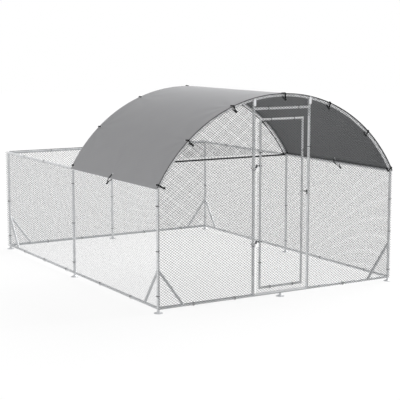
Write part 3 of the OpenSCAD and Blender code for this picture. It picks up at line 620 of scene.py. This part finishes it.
class RUN_OT_mesh_panels(bpy.types.Operator):
    """Weaves the wire mesh of the walls, the gable and the door"""
    bl_idname = "chicken_run.mesh_panels"
    bl_label = "Wire mesh"

    def execute(self, context):
        props = context.scene.run_mesh
        # One galvanised wire in two tones. The darker tone is painted shade, on the front, back, gable, door and right
        # side; the right side is seen from inside in the cover's shade. The lighter tone is painted light, on the left
        # side.
        bloom_and_shade = galvanised_steel("galvanised_wire_painted_shade", props.dark, props.light, 5, 0.25, 0.6, 0.3)
        painted_light_wire = galvanised_steel("galvanised_wire_painted_light", props.left_dark, props.left_light, 5, 0.25, 0.6, 0.3)
        thick = props.wire_d
        off = TUBE_R + SEAT + thick
        left_off, right_off = (TUBE_R + SEAT + d for d in (props.left_wire_d, props.right_wire_d))
        door_off = DOOR_TUBE_R + SEAT + thick
        # how far the mesh reaches past the middle of its tubes, and its gaps at the cover, the door and the tie rod
        edge, near, door_edge = 0.012, 0.004, 0.009
        cover_gap, side_gap, top_gap, gable_gap = 0.006, 0.002, 0.005, 0.028
        low = BASE_Z - edge

        def level(v):
            return lambda u: np.full_like(u, v)

        def under_arch(u):
            return arch_height(u) + edge

        def under_cover(y):
            return np.where(y < MID_Y + edge, WALL_Z - cover_gap, WALL_Z + near)

        def rows(z):
            return door_low + props.pitch_h * np.round((z - door_low) / props.pitch_h)

        def door_strip(u0, u1, gaps):
            """A strip beside the door's panel, left open where the hinges or the latch need room."""
            ends = [door_low, *(rows(z + s) for z, room in gaps for s in (-room, room)), DOOR_HIGH_Z + door_edge]
            return [(u0, u1, a, level(b + TINY)) for a, b in zip(ends[::2], ends[1::2])]

        wall, post = HALF_W + edge, POST_X - edge
        inner = HALF_W - TUBE_R - SEAT
        door_low, door_top = BASE_Z + TUBE_R + near, DOOR_HIGH_Z + DOOR_TUBE_R + top_gap
        body = 0.266
        strip = body + props.pitch_w
        hinge_step, hinge_drop, room = 0.3785, 0.0163, 0.026
        hooks = [(middle("hinge_eyes")[2] + s * hinge_step - hinge_drop, room) for s in (-1, 1)]
        # the ways a panel can face, each with the direction along it, up it and out of it
        front, back, left, right = (np.array([(-y, x, 0), (0, 0, 1), (x, y, 0)])
                                    for x, y in ((0, -1), (0, 1), (-1, 0), (1, 0)))
        panels = (
            ("mesh_front_left", "frame", front, -FRONT_Y + off, thick, bloom_and_shade,
             [(-wall, -post, low, under_arch), (-post, post, low, level(BASE_Z + edge))]),
            ("mesh_front_right", "frame", front, -FRONT_Y + off, thick, bloom_and_shade, [(post, wall, low, under_arch)]),
            ("mesh_front_top", "frame", front, -FRONT_Y + off, thick, bloom_and_shade,
             [(-post + side_gap, post - side_gap, door_top, under_arch)]),
            ("mesh_left", "frame", left, HALF_W + left_off, props.left_wire_d, painted_light_wire,
             [(-BACK_Y - near, -FRONT_Y + near, BASE_Z - near, lambda u: under_cover(-u))]),
            ("mesh_right", "frame", right, HALF_W + right_off, props.right_wire_d, bloom_and_shade,
             [(FRONT_Y - near, BACK_Y + near, BASE_Z - near, under_cover)]),
            ("mesh_back", "frame", back, BACK_Y + off, thick, bloom_and_shade,
             [(-HALF_W - props.tip, HALF_W + props.tip, low, level(WALL_Z + props.tip))]),
            ("mesh_gable", "frame", back, MID_Y + off, thick, bloom_and_shade, [(-inner, inner, WALL_Z + gable_gap, under_arch)]),
            ("mesh_door", "door", front, -FRONT_Y + door_off, thick, bloom_and_shade,
             [(-body, body, door_low, level(DOOR_HIGH_Z + door_edge)), *door_strip(-strip, -body, hooks),
              *door_strip(body, strip, [(middle("latch_barrel")[2], room)])]),
        )
        for node, rides, way, far, wire_d, wire, patches in panels:
            scale = props.right_pitch if node == "mesh_right" else 1.0
            points, quads = joined([woven_wires(*patch, scale * props.pitch_w, scale * props.pitch_h, wire_d)
                                    for patch in patches])
            put(node.replace("mesh", "wire"), ((points + (0, 0, far)) @ way, quads), wire, rides, node)
        # black wire; its black is also painted shade along the arches, the tie rod and the back's top rail
        self.edge_wires(props, blackened_metal("black_wire_and_painted_shade", "#17181A", "#5A5C5E", 0.3, 0.5, 0.25))
        return {"FINISHED"}

    def edge_wires(self, props, wire):
        """The tension wires that bind the mesh to the frame: round cords along a part of a circle round the arches'
        centre, one at the front arch's outer edge and three on the middle arch's back face, and straight ones under
        and on the tie rod and on the back's top rail. Their black is also painted shade: it stands for the dark shade
        along the arches' edges, under the tie rod and on the back's top rail."""
        steps, sides = 241, 6
        angle = np.linspace(-SPRING, SPRING, steps)
        r = props.edge_d / 2
        room = TUBE_R + SEAT + 2 * props.wire_d + r
        # place along the run, and height over the arch's middle line
        spots = ((FRONT_Y - room + 0.0048, 0.0155), (MID_Y + room - 0.004, 0.0115), (MID_Y + room, -0.0165),
                 (MID_Y + room, -0.0227))
        arcs = [centre + lift * out for y, lift in spots for centre, out in (arch_frame(angle, y)[:2],)]
        tie, tie_r = middle("gable_tie"), span("gable_tie")[2] / 2
        lean = math.radians(15)
        rail_y, rail_z = ((TUBE_R + SEAT + r) * f(lean) for f in (math.sin, math.cos))
        rods = ((tie[1], tie[2] - tie_r - r), (tie[1], tie[2] + tie_r + r), (BACK_Y + rail_y, WALL_Z + rail_z))
        ends = np.array([[(x, y, z) for x in (TUBE_R - HALF_W, HALF_W - TUBE_R)] for y, z in rods])
        parts = [tubes(np.array(paths), np.tile((0.0, 1.0, 0.0), (len(paths), 1)), r, sides)[:2]
                 for paths in (arcs, ends)]
        put("wire_edges", joined(parts), wire, "frame")


class RUN_OT_cover(bpy.types.Operator):
    """Makes the cloth cover over the front bay, with its hems and stitches"""
    bl_idname = "chicken_run.cover"
    bl_label = "Cloth cover"

    LINES = (181, 97)  # grid lines over the arch and along the bay
    LINE_GAP = 0.0008  # the least distance between two lines over the arch
    HOLE = 0.0068  # half a side of the hole under an eyelet
    GAP = 0.0013  # from the tubes to the cloth's middle
    RIPPLE = 0.2  # the ripple's height, as a share of the sag
    FOLDS = 9  # folds round an eyelet
    HEM_RISE = 0.003

    def execute(self, context):
        props, ties = context.scene.run_cover, context.scene.run_ties
        outer = coated_cloth("coated_polyester_outer", props.outer, 0.62, 3)
        inner = coated_cloth("coated_polyester_inner", props.inner, 0.7, 3)
        self.half = SPRING + props.drop / ARCH_R
        self.y0, self.y1 = FRONT_Y - props.lap, MID_Y + props.lap
        self.props = props
        ring = np.array([-self.HOLE, self.HOLE])
        angles = tie_angles(ties)
        side = SPRING - EYE_IN / ARCH_R
        lines = [np.linspace(-self.half, self.half, self.LINES[0])]
        lines += [angles + d / ARCH_R for d in ring] + [s * side + ring / ARCH_R for s in (-1, 1)]
        eye_y = np.array([FRONT_Y + EYE_IN, (FRONT_Y + MID_Y) / 2, MID_Y - EYE_IN])
        self.eyes = [(t * ARCH_R, yy) for t in angles for yy in (eye_y[0], eye_y[2])]
        self.eyes += [(s * side * ARCH_R, eye_y[1]) for s in (-1, 1)]
        a_lines = np.sort(np.concatenate(lines))
        a_lines = a_lines[np.abs(a_lines) <= self.half + TINY]
        a_lines = a_lines[np.append(True, np.diff(a_lines) > self.LINE_GAP / ARCH_R)]
        y_lines = np.concatenate([np.linspace(self.y0, self.y1, self.LINES[1]), (eye_y[:, None] + ring).ravel()])
        y_lines = np.unique(np.round(y_lines, 5))
        a, y = np.meshgrid(a_lines, y_lines, indexing="ij")
        points = self.surface(a, y, 0.0)
        quads = grid_quads(*a.shape)[:, ::-1]
        uv = np.stack([a * ARCH_R, y], -1).reshape(-1, 2)
        mid = uv[quads].mean(1)
        hole = np.zeros(len(quads), bool)
        for u, v in self.eyes:
            hole |= (np.abs(mid[:, 0] - u) < self.HOLE) & (np.abs(mid[:, 1] - v) < self.HOLE)
        cover = put("cover_cloth", (points.reshape(-1, 3), quads[~hole], uv), outer, "frame", "cover")
        cover.data.materials.append(inner)
        wall = cover.modifiers.new("thickness", "SOLIDIFY")
        wall.thickness, wall.offset, wall.material_offset = props.thick, 0.0, 1
        stitches = self.stitches(outer)
        return {"FINISHED"}

    def surface(self, a, y, lift):
        """The cloth's middle surface: a part of a cylinder round the arches' centre. It dips by the sag times the
        product of two arcs, one from arch to arch and one from ridge to rail, with a slow ripple of a fifth of that.
        Folds run out from each eyelet, a cosine of the angle round it that swells to the reach and then dies away,
        and the doubled hem stands out by a third of the thickness, rising over 3 mm."""
        p = self.props
        t = (y - FRONT_Y) / (MID_Y - FRONT_Y)
        s = np.clip(np.abs(a) / SPRING, 0, 1)
        bay = np.clip(4 * t * (1 - t), 0, 1)
        sag = p.sag * np.sqrt(bay) * np.sin(math.pi * s) ** 2
        ripple = (self.RIPPLE * p.sag * bay * np.sin(math.pi * s) * np.sin(9 * a + 2.2 * np.sin(2.1 * y))
                  * np.cos(3.1 * y + a))
        rim = np.minimum(np.minimum(y - self.y0, self.y1 - y), (self.half - np.abs(a)) * ARCH_R)
        hem = 0.35 * p.thick * (1 - np.clip((rim - p.hem) / self.HEM_RISE, 0, 1))
        fold = 0.0
        for u0, v0 in self.eyes:
            away, turn = np.hypot(a * ARCH_R - u0, y - v0) / p.reach, np.arctan2(a * ARCH_R - u0, y - v0)
            fold = fold + p.fold * away * np.exp(1 - away) * np.cos(self.FOLDS * turn + 40 * u0)
        r = ARCH_R + TUBE_R + SEAT + self.GAP + hem - sag - ripple + fold * np.clip(bay * 8, 0, 1) + lift
        return np.stack([r * np.sin(a), y, ARCH_Z + r * np.cos(a)], -1)

    def stitches(self, cloth):
        """Rows of short stitches along the hems: each is a small closed bead, a ring of four points swept along its
        length and swelling as the square root of a parabola."""
        p = self.props
        step, length, inset = 0.016, 0.010, p.hem - 0.005
        swell, tip, clear = 0.0007, 0.0001, 0.0002
        u_ends = np.array([-1, 1]) * (self.half * ARCH_R - inset)
        v_ends = self.y0 + inset, self.y1 - inset
        u, v = np.arange(*u_ends, step), np.arange(*v_ends, step)
        rows = np.array([(x, y, 1, 0) for y in v_ends for x in u] + [(x, y, 0, 1) for x in u_ends for y in v])
        rings, sides = 5, 4
        t = np.linspace(-1, 1, rings)
        fat = np.sqrt(np.maximum(1 - t ** 2, 0)) * swell + tip
        c = turns(sides)
        along = t[None, :, None] * length / 2
        across = fat[None, :, None] * np.cos(c)[None, None]
        uu = rows[:, 0, None, None] + rows[:, 2, None, None] * along + rows[:, 3, None, None] * across
        vv = rows[:, 1, None, None] + rows[:, 3, None, None] * along - rows[:, 2, None, None] * across
        lift = p.thick / 2 + clear + fat[None, :, None] * np.sin(c)[None, None]
        points = self.surface(uu / ARCH_R, vv, lift + 0 * uu).reshape(-1, 3)
        uv = np.stack([uu, vv], -1).reshape(-1, 2)
        shape = points, repeat(capped(rings, sides)[:, ::-1], len(rows), rings * sides), uv
        return put("cover_stitches", shape, cloth, "frame")


def tie_angles(props):
    """Angles of an arch's ties from the crown: even steps to either side, the last at the foot and the middle one
    beside the ridge."""
    half = props.count // 2
    step = np.arange(-half, half + 1)
    angles = step * props.pitch * SPRING
    angles[[0, -1]] = np.array([-1, 1]) * (SPRING - props.foot_gap / ARCH_R)
    angles[half] = props.crown_gap / ARCH_R
    return angles


class RUN_OT_elastic_ties(bpy.types.Operator):
    """Makes the elastic ties with their balls along both arches and the cover's lower edges"""
    bl_idname = "chicken_run.elastic_ties"
    bl_label = "Elastic ties"

    # Path of a tie in millimetres from the tube's centre: inward along the cover, then outward from the arch
    ARCH_ROUTE = ((-29, -31.2), (-27, -18), (-26, -4), (-26, 8), (-25, 17), (-19, 22.2), (-8, 22.5), (4, 20.8),
                  (14, 20), (26, 20.5), (32.5, 19), (35.5, 14), (36, 8), (34, 0), (24, -13), (8, -27), (-6, -36.5),
                  (-22, -40))
    SIDE_ROUTE = ((-58.4, 1), (-44, 10), (-28, 16.5), (-14, 20), (0, 20.3), (14, 20), (26, 20.5), (32.5, 19),
                  (35.5, 14), (36, 8), (33, -4), (22, -16), (6, -21), (-10, -18), (-26, -10), (-42, -5),
                  (-58.2, -3.5))
    ARCH_BALL = (-33, -43)
    SIDE_BALL = (-69, -2)
    SPREAD = 0.6  # from a tie's middle to each strand, as a share of the cord
    STEPS = 64

    def execute(self, context):
        props = context.scene.run_ties
        elastic = braided_elastic("braided_elastic", props.colour)
        nylon = moulded_nylon("black_nylon", props.colour)
        angles = tie_angles(props)
        frames = []
        for y, inward in ((FRONT_Y, 1.0), (MID_Y, -1.0)):
            centre, out, _ = arch_frame(angles, y)
            into = np.broadcast_to(np.array([0.0, inward, 0.0]), out.shape)
            frames.append((centre, into, out, self.ARCH_ROUTE, self.ARCH_BALL, 0.0))
        for sign in (-1.0, 1.0):
            centre, out, right = arch_frame(np.array([sign * SPRING]), (FRONT_Y + MID_Y) / 2)
            frames.append((centre, -sign * right, out, self.SIDE_ROUTE, self.SIDE_BALL, props.slant))
        cords, balls = [], []
        for centre, into, out, route, ball, slant in frames:
            cross = np.cross(into, out)
            way = into + slant * cross
            centre = centre - slant * EYE_IN * cross
            path = smooth_path(np.array(route) / 1000, self.STEPS)
            flat = centre[:, None] + path[None, :, :1] * way[:, None] + path[None, :, 1:] * out[:, None]
            for s in (-1, 1):
                strand = flat + s * self.SPREAD * props.cord_d * cross[:, None]
                cords.append(tubes(strand, cross, props.cord_d / 2, 8))
            at = centre + ball[0] / 1000 * way + ball[1] / 1000 * out
            start = flat[:, 0] - at
            start /= np.linalg.norm(start, axis=1, keepdims=True)
            balls.append(self.beads(at, start, cross, props.ball_d / 2))
        put("elastic_cords", joined(cords), elastic, "frame", "tie_cords")
        put("elastic_balls", joined(balls), nylon, "frame", "tie_balls")
        return {"FINISHED"}

    def beads(self, centre, pole, cross, r):
        """Round balls: a sphere's grid of latitude and longitude whose poles dip into a small eye for the cord, with a
        fine seam ridge round the middle."""
        rows, cols = 17, 20
        seam_h, seam_w, eye_depth, eye_w, pole_w = 0.00035, 0.05, 0.35, 0.22, 0.02
        lat = np.linspace(0, math.pi, rows)
        lon = turns(cols)
        seam = seam_h * np.exp(-((lat - math.pi / 2) / seam_w) ** 2)
        dip = eye_depth * r * np.exp(-(np.sin(lat) / eye_w) ** 2)
        radius = r * np.maximum(np.sin(lat), pole_w) + seam
        height = (r - dip) * np.cos(lat)
        side = np.cross(pole, cross)
        ring = circles(cross[:, None], side[:, None], cols)
        points = (centre[:, None, None] + radius[None, :, None, None] * ring
                  + height[:, None, None] * pole[:, None, None])
        uv = np.stack(np.broadcast_arrays(lon[None, None] * r, (lat * r)[None, :, None]), -1)
        uv = np.broadcast_to(uv, points.shape[:3] + (2,))
        return points.reshape(-1, 3), repeat(capped(rows, cols)[:, ::-1], len(centre), rows * cols), uv.reshape(-1, 2)


class RUN_OT_cable_ties(bpy.types.Operator):
    """Straps the wire mesh to the tubes with black cable ties"""
    bl_idname = "chicken_run.cable_ties"
    bl_label = "Cable ties"

    def execute(self, context):
        ties, mesh = context.scene.run_ties, context.scene.run_mesh
        nylon = moulded_nylon("cable_tie_nylon", ties.colour)
        x, y, z = np.eye(3)
        # places of the ties along the posts and the rails, in metres
        low, mid, high = 0.166, 0.596, 1.027
        posts = {(-HALF_W, FRONT_Y): (low, mid, high), (-HALF_W, MID_Y): (low, mid, high),
                 (-HALF_W, BACK_Y): (low, mid), (HALF_W, FRONT_Y): (0.127, 0.542, 0.888),
                 (HALF_W, MID_Y): (0.14, 0.57), (HALF_W, BACK_Y): (low, mid)}
        base = {-HALF_W: (-1.346, -0.656, 0.200, 0.812, 1.398), HALF_W: (-1.507, -0.704, 0.200, 0.812, 1.398)}
        frame_ties = [((*at, pz), z, np.sign(at[0]) * x) for at, heights in posts.items() for pz in heights]
        frame_ties += [((px, py, BASE_Z), y, np.sign(px) * x) for px, places in base.items() for py in places]
        frame_ties += [((px, py, WALL_Z), y, np.sign(px) * x) for px in base for py in (0.773, 1.352)]
        frame_ties += [((px, BACK_Y, BASE_Z), x, y) for px in (-0.906, -0.44, 0.46, 1.02)]
        frame_ties += [((px, BACK_Y, WALL_Z), x, y) for px in (-0.84, 0.46, 1.02)]
        frame_ties += [((0.0, BACK_Y, pz), z, y) for pz in (0.13, 0.546, high)]
        frame_ties += [((px, FRONT_Y, BASE_Z), x, -y) for px in (-1.02, -0.549, 0.785)]
        frame_ties += [((px, FRONT_Y, pz), z, -y) for px, pz in ((-POST_X, 0.546), (-POST_X, 1.303), (POST_X, 1.50))]
        frame_ties += [((px, FRONT_Y, HEADER_Z), x, -y) for px in (-0.17, 0.19)]
        door_ties = [((px, FRONT_Y, pz), x, -y) for px in (-0.134, 0.14) for pz in (DOOR_LOW_Z, DOOR_HIGH_Z)]
        door_ties += [((px, FRONT_Y, pz), z, -y) for px, pz in ((-STILE_X, 0.37), (-STILE_X, 1.47), (STILE_X, 1.47))]
        for name, body, spots, r in (("cable_ties_frame", "frame", frame_ties, TUBE_R),
                                     ("cable_ties_door", "door", door_ties, DOOR_TUBE_R)):
            shape = self.straps(spots, r, 2 * mesh.wire_d, ties.strap_w)
            put(name, shape, nylon, body, smooth=False)
        return {"FINISHED"}

    def straps(self, spots, tube_r, mesh_t, width):
        """Each strap is a flat band, a rectangle carried round a circle that takes in the tube and the mesh outside it,
        with a small block, a rounded box of two parameters, as its head beside the mesh."""
        place, axis, out = (np.array([s[i] for s in spots], float) for i in range(3))
        side = np.cross(axis, out)
        thick, steps, lats, lons = 0.0012, 24, 7, 12
        play, shift, tilt = 0.0004, 0.0002, 0.9
        # half sizes of the head, how far it stands out, and how square it is
        long, wide, tall, stand, edge = 0.0042, 0.8, 0.0026, 0.0016, 0.4
        r = tube_r + mesh_t / 2 + thick / 2 + play
        centre = place + (mesh_t / 2 + shift) * out
        ring = circles(out, side, steps)
        corner = np.array([(-1, -1), (-1, 1), (1, 1), (1, -1)]) / 2
        band = (centre[:, None, None] + (r + corner[:, 0] * thick)[None, None, :, None] * ring[:, :, None]
                + (corner[:, 1] * width)[None, None, :, None] * axis[:, None, None])
        index = np.arange(4 * steps).reshape(steps, 4)
        step = np.roll(index, -1, 0)
        one = np.stack([index, step, np.roll(step, -1, 1), np.roll(index, -1, 1)], -1).reshape(-1, 4)[:, ::-1]
        n = len(spots)
        up = math.cos(tilt) * out + math.sin(tilt) * side
        flat = -math.sin(tilt) * out + math.cos(tilt) * side
        lat = np.linspace(-math.pi / 2, math.pi / 2, lats)
        lon = turns(lons)

        def squared(v):
            return np.sign(v) * np.abs(v) ** edge

        sx = squared(np.cos(lat))[:, None] * squared(np.cos(lon)) * long
        sy = squared(np.cos(lat))[:, None] * squared(np.sin(lon)) * width * wide
        sz = squared(np.sin(lat))[:, None] * np.ones(lons) * tall
        head = ((centre + (r + stand) * up)[:, None, None] + sx[None, :, :, None] * flat[:, None, None]
                + sy[None, :, :, None] * axis[:, None, None] + sz[None, :, :, None] * up[:, None, None])
        points = np.concatenate([band.reshape(-1, 3), head.reshape(-1, 3)])
        heads = repeat(grid_quads(lats, lons, wrap=True), n, lats * lons) + n * index.size
        return points, np.concatenate([repeat(one, n, index.size), heads])


class RUN_PT_panel(bpy.types.Panel):
    """Lists the pieces of the run in the sidebar"""
    bl_idname = "RUN_PT_panel"
    bl_label = "Chicken run"
    bl_space_type = "VIEW_3D"
    bl_region_type = "UI"
    bl_category = "Chicken run"

    def draw(self, context):
        for step in STEPS:
            self.layout.operator(step.bl_idname)
        for group in GROUPS:
            box = self.layout.box()
            props = getattr(context.scene, group)
            for key in props.__annotations__:
                box.prop(props, key)


GROUPS = {"run_braces": BraceProps, "run_mesh": MeshProps, "run_cover": CoverProps, "run_ties": TieProps,
          "run_stage": StageProps}
STEPS = (RUN_OT_stage, RUN_OT_finishes, RUN_OT_braces, RUN_OT_mesh_panels, RUN_OT_cover, RUN_OT_elastic_ties,
         RUN_OT_cable_ties)


def register():
    for item in (*GROUPS.values(), *STEPS, RUN_PT_panel):
        bpy.utils.register_class(item)
    for name, group in GROUPS.items():
        setattr(bpy.types.Scene, name, PointerProperty(type=group))


def unregister():
    for name in GROUPS:
        delattr(bpy.types.Scene, name)
    for item in reversed((*GROUPS.values(), *STEPS, RUN_PT_panel)):
        bpy.utils.unregister_class(item)


def main():
    """Registers the add-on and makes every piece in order."""
    register()
    for step in STEPS:
        family, name = step.bl_idname.split(".")
        getattr(getattr(bpy.ops, family), name)()
    bpy.context.view_layer.update()


if __name__ == "__main__":
    main()
